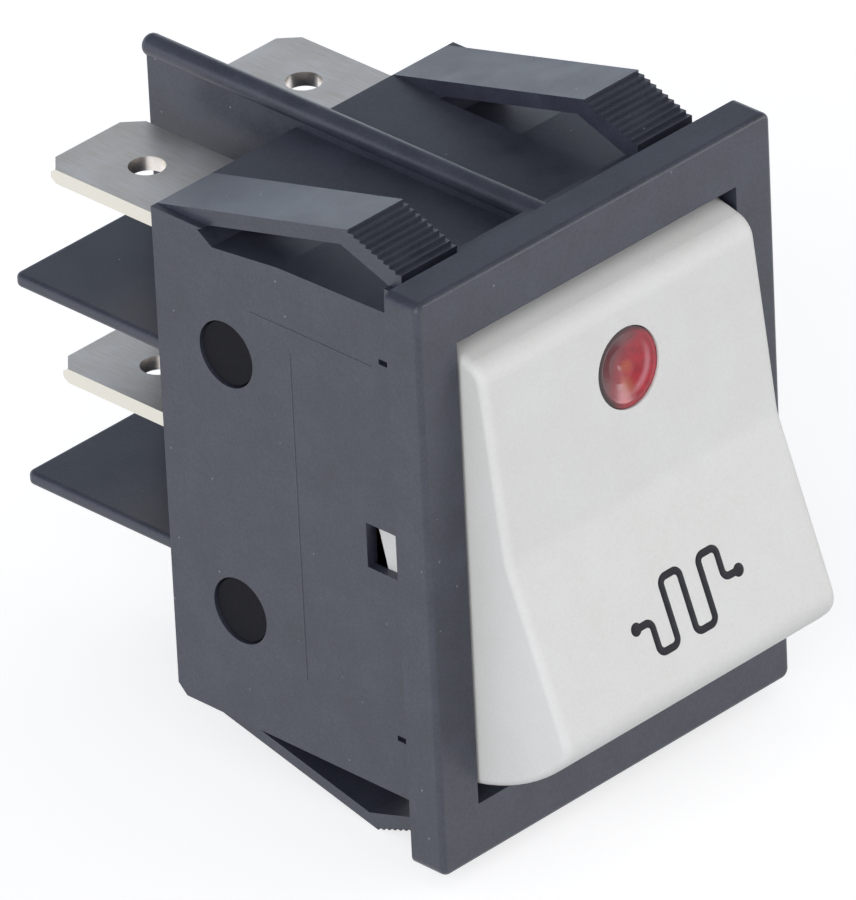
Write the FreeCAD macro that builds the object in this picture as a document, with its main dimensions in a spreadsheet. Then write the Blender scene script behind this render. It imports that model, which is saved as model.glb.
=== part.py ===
import FreeCAD, Part
import math
import os

import Sketcher

# Panel rocker switch, two poles, lit, for a 22 mm by 30 mm cut-out.
# The origin is the middle of the panel plane: the back face of the bezel.
# X runs across the switch, -Y points out of the panel, +Z points up.
# The rocker is drawn level about its hinge and then tipped into the state it rests in.

SIZES = (
    ("cutout_width", 22.0, "width of the hole in the panel"),
    ("cutout_height", 30.0, "height of the hole in the panel"),
    ("bezel_side_lap", 1.4, "front frame past each side of the hole"),
    ("bezel_end_lap", 1.05, "front frame past the top and bottom of the hole"),
    ("bezel_thickness", 2.15, "front frame, in front of the panel"),
    ("bezel_corner", 0.5, "radius of the frame's four corners"),
    ("bezel_edge", 0.3, "radius of the frame's front edge"),
    ("body_side_room", 0.4, "room between the hole and each side of the box"),
    ("body_end_room", 1.35, "room between the hole and the top and bottom of the box"),
    ("body_drop", 0.28, "bottom of the box, lower than its top is high"),
    ("body_depth", 17.6, "box behind the panel, front to back"),
    ("side_wall", 0.8, "wall of the box at the left and right"),
    ("end_wall", 0.7, "wall of the box at the top and bottom"),
    ("end_step", 0.6, "extra thickness of that wall under the wings' roots"),
    ("end_step_length", 6.3, "length of the thicker part, from the back floor"),
    ("rear_wall", 2.3, "back wall of the box"),
    ("land_depth", 1.8, "locating land behind the bezel"),
    ("land_fit", 0.15, "room between the land and the cut-out"),
    ("wing_width", 3.85, "snap wing, across"),
    ("wing_inset", 0.42, "wing set in from the side of the box"),
    ("wing_thickness", 0.85, "wing, through its arm"),
    ("wing_nose", 1.15, "wing, through its gripping end"),
    ("wing_knee", 0.55, "bend of the wing's inside behind its peak"),
    ("lower_wing_thickness", 0.65, "lower wing, through its arm"),
    ("lower_wing_nose", 0.75, "lower wing, through its gripping end"),
    ("wing_root", 3.6, "solid foot of the wing at the back edge"),
    ("wing_peak_depth", 4.5, "distance of the wing's peak from the panel plane"),
    ("wing_peak_rise", 1.93, "height of the wing's peak over the cut-out's edge"),
    ("wing_end_depth", 1.0, "distance of the wing's free end from the panel plane"),
    ("wing_end_rise", 0.65, "height of the wing's free end over the cut-out's edge"),
    ("tooth_count", 9, "steps on the wing's gripping slope"),
    ("tooth_depth", 0.18, "depth of one step"),
    ("relief_back", 0.45, "hollow under a wing, behind its root"),
    ("relief_foot", 0.5, "deepest place of the hollow, in front of the root"),
    ("relief_depth", 0.8, "depth of the hollow there"),
    ("relief_middle", 5.0, "place where the hollow flattens, in front of the root"),
    ("relief_shallow", 0.3, "depth of the hollow there"),
    ("relief_front", 0.15, "depth of the hollow at the land"),
    ("relief_side", 0.3, "hollow past the wing's inner side"),
    ("fin_thickness", 0.95, "upright barrier and its fins"),
    ("fin_bead", 1.2, "diameter of the bead along a fin's edge"),
    ("fin_nose", 0.4, "length of the bead past the barrier's back edge"),
    ("barrier_reach", 10.3, "upright barrier behind the box"),
    ("shelf_reach", 10.3, "level barriers behind the box"),
    ("shelf_thickness", 0.75, "level barrier"),
    ("shelf_inset", 0.25, "level barrier set in from the side of the box"),
    ("shelf_corner", 0.4, "radius of a level barrier's back corners"),
    ("shelf_edge", 0.25, "radius along a level barrier's outer edges"),
    ("row_inset", 1.65, "top of the opening to the upper row of terminals"),
    ("pole_inset", 4.3, "side of the opening to a column of terminals"),
    ("hole_diameter", 3.6, "round holes in the side walls"),
    ("hole_ahead", 2.38, "those holes in front of the box's back floor"),
    ("hole_inset", 2.53, "those holes from the ends of the carrier's cheeks"),
    ("side_drop", 0.2, "holes and windows of the side walls, lower than the middle"),
    ("window_height", 2.5, "mould window behind the hinge boss"),
    ("window_length", 2.0, "mould window, front to back"),
    ("notch_inset", 3.05, "small side notches from the top and bottom of the box"),
    ("notch_length", 0.6, "small side notch, front to back"),
    ("notch_width", 0.3, "small side notch, upright"),
    ("notch_cut", 0.35, "small side notch, into the wall"),
    ("hinge_depth", 1.1, "hinge line behind the panel plane"),
    ("boss_diameter", 1.5, "hinge boss on the side wall"),
    ("hinge_clearance", 0.05, "radial room of the rocker on the boss"),
    ("rocker_gap", 0.2, "room at each side of the rocker"),
    ("rocker_end_gap", 0.45, "room past the sweep of the rocker's ends"),
    ("rocker_rise", 6.1, "hinge line to the valley of the rocker's face"),
    ("rocker_dish", 6.6, "degrees that each half of the face leans forward"),
    ("rocker_skirt", 2.2, "hinge line to the back edge of the rocker"),
    ("rocker_wall", 1.2, "wall of the rocker"),
    ("rocker_end_round", 1.3, "radius at the top and bottom of the face"),
    ("rocker_valley", 2.5, "radius in the valley of the face"),
    ("rocker_edge", 0.45, "radius along the sides of the face"),
    ("rocker_tilt", 14.0, "degrees from level to either resting state"),
    ("lug_thickness", 0.45, "hinge lug on each side of the rocker"),
    ("lug_half", 2.4, "half the height of a lug"),
    ("lug_ahead", 1.8, "lug in front of the hinge line"),
    ("lug_room", 0.05, "room beside a lug"),
    ("lug_swing", 0.15, "room round a lug as it swings"),
    ("stem_wall", 0.7, "wall of the tube that holds a plunger"),
    ("bore_diameter", 3.0, "bore of that tube"),
    ("bore_floor", 0.7, "solid end of the bore"),
    ("lens_diameter", 4.1, "round lens in the upper half of the face"),
    ("lens_inset", 6.03, "middle of the lens from the sweep of the rocker's end"),
    ("lens_land", 0.12, "flat of the lens round its hollow"),
    ("lens_clearance", 0.06, "radial room round the lens"),
    ("lens_dish", 0.55, "depth of the hollow in the lens"),
    ("lens_sink", 0.08, "rim of the lens under the face"),
    ("lens_flange", 0.65, "flange of the lens past its hole"),
    ("lens_flange_thickness", 0.7, "flange of the lens, front to back"),
    ("plunger_show", 2.7, "end of the tube to the tip of the plunger"),
    ("plunger_clearance", 0.08, "radial room of the plunger in its bore"),
    ("plunger_nose", 2.4, "diameter of the plunger's round nose"),
    ("nose_steps", 4, "bevels round the plunger's nose"),
    ("plunger_guide", 2.5, "length of the plunger's guided part"),
    ("plunger_overhang", 0.6, "guided part that shows past the tube"),
    ("plunger_spigot_length", 1.3, "length of the pin inside the spring"),
    ("spring_wire", 0.35, "wire of the plunger spring"),
    ("spring_fit", 0.2, "room outside and inside the plunger spring"),
    ("spring_turns", 5, "turns of the plunger spring"),
    ("seat_gap", 0.02, "room between pieces that only touch"),
    ("arm_gap", 0.17, "room between plunger and arm when both stand level"),
    ("arm_width", 4.4, "contact arm, across"),
    ("arm_thickness", 0.7, "contact arm, through its strip"),
    ("arm_flank_angle", 14.0, "degrees that the arm's flanks slope"),
    ("arm_flank", 2.6, "middle of the arm to the end of a flank"),
    ("arm_tail", 4.9, "middle of the arm to its other end"),
    ("arm_tilt", 8.0, "degrees that the arm leans in either state"),
    ("arm_notch", 0.55, "depth of the notches that locate the arm"),
    ("arm_notch_room", 0.22, "room over and under an ear in its notch"),
    ("ear_gap", 0.1, "room beside the arm in the fork"),
    ("ear_reach", 1.2, "ears in front of the arm's pivot edge"),
    ("contact_inset", 3.8, "upper row of terminals to the contacts"),
    ("contact_head", 0.9, "height of a contact's head"),
    ("contact_diameter", 3.0, "head of a contact"),
    ("contact_shank", 1.5, "shank of a contact"),
    ("contact_clinch", 2.2, "closed head of a contact, across"),
    ("contact_clinch_height", 0.3, "closed head of a contact"),
    ("contact_bevel", 0.3, "bevel at the edge of a fixed contact's head"),
    ("contact_taper", 0.84, "bevel that points a moving contact's head"),
    ("contact_gap", 0.04, "room between the contacts at the closed end"),
    ("tab_width", 6.3, "terminal tab, across"),
    ("tab_thickness", 0.8, "terminal tab"),
    ("tab_reach", 9.8, "terminal tab behind the box"),
    ("tab_hole", 1.9, "hole in the tab"),
    ("tab_hole_back", 4.35, "tip of the tab to the middle of its hole"),
    ("tab_tip", 0.8, "cut corner at the tip of the tab"),
    ("tab_bevel", 0.25, "bevel round the tip of the tab"),
    ("tab_fit", 0.1, "room round a tab in its slot"),
    ("bend_radius", 0.5, "inside radius of the load terminal's bend"),
    ("leg_end", 2.6, "middle of the fixed contact to the leg's lower end"),
    ("shoulder", 0.35, "common terminal, wider part inside, each side"),
    ("shoulder_seat", 0.2, "depth of the common terminal's seat in the carrier"),
    ("carrier_plate", 2.36, "plate of the contact carrier, front to back"),
    ("carrier_fit", 0.1, "room round the contact carrier"),
    ("cheek_thickness", 0.9, "side cheek of the contact carrier"),
    ("cheek_inset", 3.15, "ends of a cheek from the top and bottom of the opening"),
    ("stop_gap", 0.06, "room at the rocker's and the arms' stops"),
    ("stud_fit", 0.1, "radial room of a stud in its side hole"),
    ("stud_sink", 0.15, "end of a stud under the outside of the wall"),
    ("post_width", 1.2, "arm stop, upright"),
    ("lamp_diameter", 3.2, "neon lamp"),
    ("lamp_front", 0.8, "front of the lamp behind the panel plane"),
    ("lamp_lead_room", 2.5, "back of the lamp to the load terminals' legs"),
    ("lamp_drop", 0.6, "middle of the lamp lower than the lens"),
    ("lamp_fit", 0.08, "radial room of the lamp in its socket"),
    ("lamp_seat", 2.6, "length of the lamp that its socket holds"),
    ("lamp_pitch", 1.1, "distance between the lamp's two leads"),
    ("tower_wall", 0.75, "wall over and under the lamp"),
    ("resistor_diameter", 1.9, "ballast resistor"),
    ("resistor_length", 4.4, "ballast resistor, across the switch"),
    ("resistor_drop", 0.9, "upper row of terminals to the middle of the resistor"),
    ("resistor_ahead", 1.3, "middle of the resistor in front of the legs"),
    ("lead_wire", 0.45, "bare lead wire"),
    ("lead_bend", 0.5, "radius of a lead's bends"),
    ("lead_room", 0.5, "leads beside the contact arms"),
    ("lead_gap", 0.6, "leads beside the lamp socket"),
)

doc = FreeCAD.newDocument("PanelRockerSwitch")
sheet = doc.addObject("Spreadsheet::Sheet", "Sizes")


class Size:
    """A number together with the formula that gives it from the sheet."""

    def __init__(self, number, formula):
        self.number = float(number)
        self.formula = formula

    def __add__(self, other):
        other = as_size(other)
        return Size(self.number + other.number, f"({self.formula} + {other.formula})")

    def __sub__(self, other):
        other = as_size(other)
        return Size(self.number - other.number, f"({self.formula} - {other.formula})")

    def __mul__(self, other):
        other = as_size(other)
        return Size(self.number * other.number, f"({self.formula} * {other.formula})")

    def __truediv__(self, other):
        other = as_size(other)
        return Size(self.number / other.number, f"({self.formula} / {other.formula})")

    def __neg__(self):
        return Size(-self.number, f"(-1 * {self.formula})")

    __radd__ = __add__
    __rmul__ = __mul__

    def __rsub__(self, other):
        return as_size(other) - self


def as_size(value):
    """Plain numbers may stand in a formula too."""
    if isinstance(value, Size):
        return value
    return Size(value, f"({value})")


def sine(angle):
    return Size(math.sin(math.radians(angle.number)), f"sin({angle.formula})")


def cosine(angle):
    return Size(math.cos(math.radians(angle.number)), f"cos({angle.formula})")


def tangent(angle):
    return Size(math.tan(math.radians(angle.number)), f"tan({angle.formula})")


def fill_sheet():
    """Writes the driving sizes into the sheet and returns them by name."""
    named = {}
    for row, (name, number, meaning) in enumerate(SIZES, start=1):
        sheet.set(f"A{row}", name)
        sheet.set(f"B{row}", str(number))
        sheet.set(f"C{row}", meaning)
        sheet.setAlias(f"B{row}", name)
        named[name] = Size(number, f"Sizes.{name}")
    doc.recompute()
    return named


S = fill_sheet()


# Places that several pieces share

half_cutout = S["cutout_height"] / 2
half_bezel_width = S["cutout_width"] / 2 + S["bezel_side_lap"]
half_bezel_height = half_cutout + S["bezel_end_lap"]
half_body_width = S["cutout_width"] / 2 - S["body_side_room"]
half_body_height = half_cutout - S["body_end_room"]
half_opening_width = half_body_width - S["side_wall"]
half_opening_height = half_body_height - S["end_wall"]
half_rear_height = half_opening_height - S["end_step"]
rear_floor = S["body_depth"] - S["rear_wall"]
row_pitch = half_opening_height - S["row_inset"]
pole = half_opening_width - S["pole_inset"]
half_tab = S["tab_width"] / 2
half_strip = S["tab_thickness"] / 2
tab_tip_depth = S["body_depth"] + S["tab_reach"]
slot_half_width = half_tab + S["tab_fit"]
slot_half_height = half_strip + S["tab_fit"]
cheek_half = half_opening_height - S["cheek_inset"]
hole_depth = rear_floor - S["hole_ahead"]
hole_heights = [(cheek_half - S["hole_inset"]) * up - S["side_drop"] for up in (1, -1)]

rocker_half_width = half_opening_width - S["rocker_gap"]
rocker_inner = rocker_half_width - S["rocker_wall"]
rocker_radius = half_opening_height - S["rocker_end_gap"]
boss_radius = S["boss_diameter"] / 2
face_slope = tangent(S["rocker_dish"])
lens_height = (rocker_radius - S["lens_inset"]) * cosine(S["rocker_dish"])

arm_rise = S["arm_flank"] * tangent(S["arm_flank_angle"])
contact_height = row_pitch - S["contact_inset"]
arm_length = contact_height + S["contact_diameter"] / 2
contact_tip = S["contact_head"] - arm_rise
contact_flat = S["contact_diameter"] / 2 - S["contact_taper"]

# The carrier sits on the box's back floor, and everything in front of it follows from there.
carrier_back = rear_floor - S["seat_gap"]
carrier_front = carrier_back - S["carrier_plate"]
leg_back = carrier_front - S["seat_gap"]
leg_front = leg_back - S["tab_thickness"]
fixed_face = leg_front - S["contact_head"]
pivot_depth = (fixed_face - S["contact_gap"] - contact_tip * cosine(S["arm_tilt"])
               - (contact_height + contact_flat) * sine(S["arm_tilt"]))
plunger_reach = pivot_depth - S["arm_thickness"] - S["arm_gap"] - S["hinge_depth"]
stem_reach = plunger_reach - S["plunger_show"]
spring_radius = (S["bore_diameter"] - S["spring_wire"]) / 2 - S["spring_fit"]
fixed_height = contact_height * cosine(S["arm_tilt"]) - contact_tip * sine(S["arm_tilt"])
leg_low = fixed_height - S["leg_end"]
cheek_outer = half_opening_width - S["carrier_fit"]
cheek_inner = cheek_outer - S["cheek_thickness"]
cheek_front = (S["hinge_depth"] + S["rocker_skirt"] / cosine(S["rocker_tilt"])
               + cheek_half * tangent(S["rocker_tilt"]) + S["stop_gap"])
lamp_radius = S["lamp_diameter"] / 2
lamp_height = lens_height - S["lamp_drop"]
lamp_back = leg_front - S["lamp_lead_room"]
resistor_depth = leg_front - S["resistor_ahead"]
resistor_height = row_pitch - S["resistor_drop"]
lead_depth = lamp_back + S["lead_wire"] * 1.5
lead_out = pole - S["arm_width"] / 2 - S["lead_room"]
half_tower = lead_out - S["lead_gap"]


# Sketches and features

def new_body(name):
    body = doc.addObject("PartDesign::Body", name)
    body.Label = name
    return body


def attached(body, plane):
    """A sketch on one of the body's origin planes."""
    sketch = body.newObject("Sketcher::SketchObject", body.Name + "_sketch")
    origin_plane = [item for item in body.Origin.OriginFeatures if item.Role == plane][0]
    sketch.AttachmentSupport = (origin_plane, "")
    sketch.MapMode = "FlatFace"
    return sketch


def sketch_on(body, plane, offset):
    """A sketch parallel to one of the body's origin planes, offset along that plane's normal."""
    sketch = attached(body, plane)
    sketch.setExpression("AttachmentOffset.Base.z", as_size(offset).formula)
    return sketch


def leaning(body, depth, height, angle):
    """A sketch that faces the front at a depth and height, with its top leaning forward by an angle."""
    sketch = attached(body, "XZ_Plane")
    sketch.setExpression("AttachmentOffset", (
        f"create(<<placement>>; create(<<vector>>; 0; {height.formula}; {(-depth).formula});"
        f" create(<<rotation>>; create(<<vector>>; 1; 0; 0); {angle.formula}))"))
    return sketch


def across(body, depth):
    """A sketch that faces the front, at a depth behind the panel: its axes are X and Z."""
    return sketch_on(body, "XZ_Plane", -as_size(depth))


def along(body, side):
    """A sketch that faces the side, at a place across the switch: its axes are Y and Z."""
    return sketch_on(body, "YZ_Plane", side)


def level(body, height):
    """A sketch that faces up, at a height: its axes are X and Y."""
    return sketch_on(body, "XY_Plane", height)


def pin(sketch, geometry, point, u, v):
    """Ties a point of the sketch to its two formulas."""
    for kind, value in (("DistanceX", as_size(u)), ("DistanceY", as_size(v))):
        index = sketch.addConstraint(Sketcher.Constraint(kind, -1, 1, geometry, point, value.number))
        sketch.setExpression(f"Constraints[{index}]", value.formula)


def outline(sketch, corners):
    """A closed outline through the given corners."""
    corners = [(as_size(u), as_size(v)) for u, v in corners]
    points = [FreeCAD.Vector(u.number, v.number, 0) for u, v in corners]
    first = sketch.GeometryCount
    count = len(points)
    for number in range(count):
        sketch.addGeometry(Part.LineSegment(points[number], points[(number + 1) % count]), False)
    for number in range(count):
        following = first + (number + 1) % count
        sketch.addConstraint(Sketcher.Constraint("Coincident", first + number, 2, following, 1))
    for number, (u, v) in enumerate(corners):
        pin(sketch, first + number, 1, u, v)
    return sketch


def box_outline(sketch, low_u, low_v, high_u, high_v):
    return outline(sketch, [(low_u, low_v), (high_u, low_v), (high_u, high_v), (low_u, high_v)])


def circle(sketch, u, v, radius):
    radius = as_size(radius)
    centre = FreeCAD.Vector(as_size(u).number, as_size(v).number, 0)
    index = sketch.addGeometry(Part.Circle(centre, FreeCAD.Vector(0, 0, 1), radius.number), False)
    size = sketch.addConstraint(Sketcher.Constraint("Radius", index, radius.number))
    sketch.setExpression(f"Constraints[{size}]", radius.formula)
    pin(sketch, index, 3, u, v)
    return sketch


def extrude(body, kind, sketch, length, backwards, both_ways):
    feature = body.newObject("PartDesign::" + kind, f"{body.Name}_{kind.lower()}")
    feature.Profile = sketch
    feature.Type = "Length"
    feature.SideType = "Symmetric" if both_ways else "One side"
    feature.Reversed = backwards
    feature.setExpression("Length", as_size(length).formula)
    return feature


def pad(body, sketch, length, backwards=False, both_ways=False):
    """Adds the sketch's area, along its normal."""
    return extrude(body, "Pad", sketch, length, backwards, both_ways)


def pocket(body, sketch, length, backwards=False, both_ways=False):
    """Cuts the sketch's area, against its normal, and makes sure that something was cut."""
    doc.recompute()
    before = body.Shape.Volume
    feature = extrude(body, "Pocket", sketch, length, backwards, both_ways)
    doc.recompute()
    if not body.Shape.Volume < before - 1e-6:
        raise ValueError(f"{body.Label}: a pocket cut nothing")
    return feature


def to_back(body, sketch, length):
    """A pad from a sketch that faces the front, towards the back."""
    return pad(body, sketch, length, backwards=True)


def disc(body, x, z, radius, front, back):
    """A round pad along Y between two depths."""
    return to_back(body, circle(across(body, front), x, z, radius), back - front)


def edges_where(body, wanted):
    """Names of the body's edges for which the test holds."""
    doc.recompute()
    shape = body.Tip.Shape
    return [f"Edge{number}" for number, edge in enumerate(shape.Edges, start=1) if wanted(edge)]


def dress(body, kind, size, wanted):
    """A fillet or chamfer on the edges for which the test holds."""
    names = edges_where(body, wanted)
    if not names:
        raise ValueError(f"{body.Label}: no edge for {kind}")
    base = body.Tip
    feature = body.newObject("PartDesign::" + kind, f"{body.Name}_{kind.lower()}")
    feature.Base = (base, names)
    feature.setExpression("Radius" if kind == "Fillet" else "Size", as_size(size).formula)
    return feature


def near(number, size):
    return abs(number - as_size(size).number) < 1e-4


def flat_in(edge, axis, size):
    """True where the whole edge lies at one coordinate along an axis."""
    box = edge.BoundBox
    low, high = {"x": (box.XMin, box.XMax), "y": (box.YMin, box.YMax), "z": (box.ZMin, box.ZMax)}[axis]
    return near(low, size) and near(high, size)


def lathe(body, corners):
    """Turns an outline, given as distance from the Y axis and depth, about that axis."""
    profile = outline(level(body, 0), corners)
    turn = body.newObject("PartDesign::Revolution", body.Name + "_turn")
    turn.Profile = profile
    turn.ReferenceAxis = (profile, ["V_Axis"])
    turn.Angle = 360


def turned(body, depth, height, angle, aside=0):
    """Turns a body about X, by an angle, and carries its origin to a depth, height and place across."""
    corner = "; ".join(as_size(value).formula for value in (aside, depth, height))
    body.setExpression("Placement", (
        f"create(<<placement>>; create(<<vector>>; {corner});"
        f" create(<<rotation>>; create(<<vector>>; 1; 0; 0); {as_size(angle).formula}))"))
    return body


def with_rocker(body, aside=0):
    """Puts a piece that was drawn about the hinge where the resting rocker is."""
    return turned(body, S["hinge_depth"], 0, -S["rocker_tilt"], aside)


def with_arm(body):
    """Puts a piece that was drawn about the arm's pivot where the resting arm is."""
    return turned(body, pivot_depth, 0, S["arm_tilt"])


SIDES = (("left", -1), ("right", 1))


# Housing: one moulding with its bezel, snap wings, fins and barriers

wing_root = S["body_depth"] - S["wing_root"]
wing_peak = half_cutout + S["wing_peak_rise"]
wing_slope = (wing_peak - half_body_height) / (S["body_depth"] - S["wing_peak_depth"])


def wing_inside(depth, thickness):
    """Height of the wing's inner side, along its arm."""
    return half_body_height + (S["body_depth"] - depth) * wing_slope - thickness


def wing_outline(up, thickness, nose):
    """Side view of one snap wing, as depth and height, on the top or the bottom."""
    foot = half_body_height - S["end_wall"] / 2
    end = half_cutout + S["wing_end_rise"]
    step = (S["wing_peak_depth"] - S["wing_end_depth"]) / S["tooth_count"]
    drop = (wing_peak - end) / S["tooth_count"]
    knee = S["wing_peak_depth"] + S["wing_knee"]
    points = [(wing_root, foot), (S["body_depth"], foot), (S["body_depth"], half_body_height)]
    for number in range(int(S["tooth_count"].number)):
        depth = S["wing_peak_depth"] - step * number
        height = wing_peak - drop * number
        points += [(depth, height), (depth, height - S["tooth_depth"])]
    points += [
        (S["wing_end_depth"], end), (S["wing_end_depth"], end - nose),
        (knee, wing_inside(knee, thickness)), (wing_root, wing_inside(wing_root, thickness))]
    return [(depth, height * up) for depth, height in points]


def relief_outline():
    """Side view of the hollow in the top of the box under one wing."""
    top = wing_inside(wing_root, S["wing_thickness"])
    return [
        (wing_root, top), (wing_root + S["relief_back"], half_body_height - S["relief_front"]),
        (wing_root - S["relief_foot"], half_body_height - S["relief_depth"]),
        (wing_root - S["relief_middle"], half_body_height - S["relief_shallow"]),
        (S["land_depth"], half_body_height - S["relief_front"]), (S["land_depth"], top)]


def build_housing():
    body = new_body("housing")
    front = -S["bezel_thickness"]
    frame = box_outline(across(body, front), -half_bezel_width, -half_bezel_height,
                        half_bezel_width, half_bezel_height)
    to_back(body, frame, S["bezel_thickness"])
    dress(body, "Fillet", S["bezel_corner"], lambda edge: abs(edge.tangentAt(edge.FirstParameter).y) > 0.9)
    dress(body, "Fillet", S["bezel_edge"], lambda edge: flat_in(edge, "y", front))
    bottom = -half_body_height - S["body_drop"]
    box = box_outline(across(body, 0), -half_body_width, bottom, half_body_width, half_body_height)
    to_back(body, box, S["body_depth"])
    dress(body, "Chamfer", S["body_drop"] * 2, lambda edge: (
        flat_in(edge, "y", S["body_depth"]) and flat_in(edge, "z", bottom)))
    half_land = half_cutout - S["land_fit"]
    land = box_outline(across(body, 0), -half_body_width, -half_land, half_body_width, half_land)
    to_back(body, land, S["land_depth"])
    cavity = box_outline(across(body, front), -half_opening_width, -half_opening_height,
                         half_opening_width, half_opening_height)
    pocket(body, cavity, rear_floor - S["end_step_length"] + S["bezel_thickness"])
    rear = box_outline(across(body, front), -half_opening_width, -half_rear_height,
                       half_opening_width, half_rear_height)
    pocket(body, rear, rear_floor + S["bezel_thickness"])
    swing_up = S["lug_half"] * sine(S["rocker_tilt"]) + S["lug_swing"]
    lug_front = S["hinge_depth"] - S["lug_ahead"] * cosine(S["rocker_tilt"]) - swing_up
    lug_back = S["hinge_depth"] + S["rocker_skirt"] * cosine(S["rocker_tilt"]) + swing_up
    lug_high = (S["lug_half"] * cosine(S["rocker_tilt"]) + S["rocker_skirt"] * sine(S["rocker_tilt"])
                + S["lug_swing"])
    lug_recess = S["lug_thickness"] + S["lug_room"]
    recess = box_outline(along(body, 0), lug_front, -lug_high, lug_back, lug_high)
    pocket(body, recess, (rocker_half_width + lug_recess) * 2, both_ways=True)

    wing_inner = half_body_width - S["wing_inset"] - S["wing_width"]
    relief_inner = wing_inner - S["relief_side"]
    for side in (1, -1):
        upper = wing_outline(1, S["wing_thickness"], S["wing_nose"])
        lower = wing_outline(-1, S["lower_wing_thickness"], S["lower_wing_nose"])
        for corners in (upper, lower):
            pad(body, outline(along(body, wing_inner * side), corners), S["wing_width"], backwards=side < 0)
        relief = outline(along(body, relief_inner * side), relief_outline())
        pocket(body, relief, (half_body_width - relief_inner) * 1.2, backwards=side > 0)

    bead = S["fin_bead"] / 2
    fin_top = half_cutout - bead
    barrier_back = S["body_depth"] + S["barrier_reach"]
    inside_rear = S["body_depth"] - S["rear_wall"] / 2
    barrier = box_outline(along(body, 0), inside_rear, -fin_top, barrier_back, fin_top)
    pad(body, barrier, S["fin_thickness"], both_ways=True)
    fin_start = S["land_depth"] / 2
    for up in (1, -1):
        foot = (half_body_height - S["end_wall"] / 2) * up
        strip = box_outline(along(body, 0), fin_start, foot, barrier_back, fin_top * up)
        pad(body, strip, S["fin_thickness"], both_ways=True)
        disc(body, 0, fin_top * up, bead, fin_start, barrier_back + S["fin_nose"])
    nose = barrier_back + S["fin_nose"]
    dress(body, "Fillet", S["fin_nose"] * 0.9, lambda edge: flat_in(edge, "y", nose))
    shelf_side = half_body_width - S["shelf_inset"]
    for up in (1, -1):
        middle = row_pitch / 2 * up
        shelf = box_outline(across(body, inside_rear), -shelf_side, middle - S["shelf_thickness"] / 2,
                            shelf_side, middle + S["shelf_thickness"] / 2)
        to_back(body, shelf, S["shelf_reach"] + S["rear_wall"] / 2)
    shelf_back = S["body_depth"] + S["shelf_reach"]
    for side in (shelf_side, -shelf_side):
        dress(body, "Fillet", S["shelf_corner"], lambda edge: (
            flat_in(edge, "x", side) and flat_in(edge, "y", shelf_back)))
        dress(body, "Fillet", S["shelf_edge"], lambda edge: (
            flat_in(edge, "x", side) and edge.BoundBox.ZLength < 1e-4))

    slots = across(body, rear_floor)
    for _, side in SIDES:
        for row in (0, 1):
            middle = row_pitch * row
            box_outline(slots, pole * side - slot_half_width, middle - slot_half_height,
                        pole * side + slot_half_width, middle + slot_half_height)
    pocket(body, slots, S["rear_wall"])

    holes = along(body, 0)
    for height in hole_heights:
        circle(holes, hole_depth, height, S["hole_diameter"] / 2)
    window_front = S["hinge_depth"] + boss_radius
    box_outline(holes, window_front, -S["window_height"] / 2 - S["side_drop"],
                window_front + S["window_length"], S["window_height"] / 2 - S["side_drop"])
    pocket(body, holes, half_body_width * 3, both_ways=True)
    thin_wall = half_body_width - rocker_half_width - lug_recess
    for _, side in SIDES:
        notches = along(body, half_body_width * side)
        for up in (1, -1):
            middle = (half_body_height - S["notch_inset"]) * up
            box_outline(notches, S["land_depth"], middle - S["notch_width"] / 2,
                        S["land_depth"] + S["notch_length"], middle + S["notch_width"] / 2)
        pocket(body, notches, S["notch_cut"], backwards=side < 0)
        boss = circle(along(body, (half_body_width - thin_wall / 2) * side), S["hinge_depth"], 0, boss_radius)
        pad(body, boss, thin_wall / 2 + lug_recess + S["rocker_wall"] * 0.9, backwards=side > 0)
    return body


# Rocker and what it carries

def face_at(height):
    """Depth of the rocker's face at a height, seen from the hinge."""
    return -S["rocker_rise"] - height * face_slope


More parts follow.
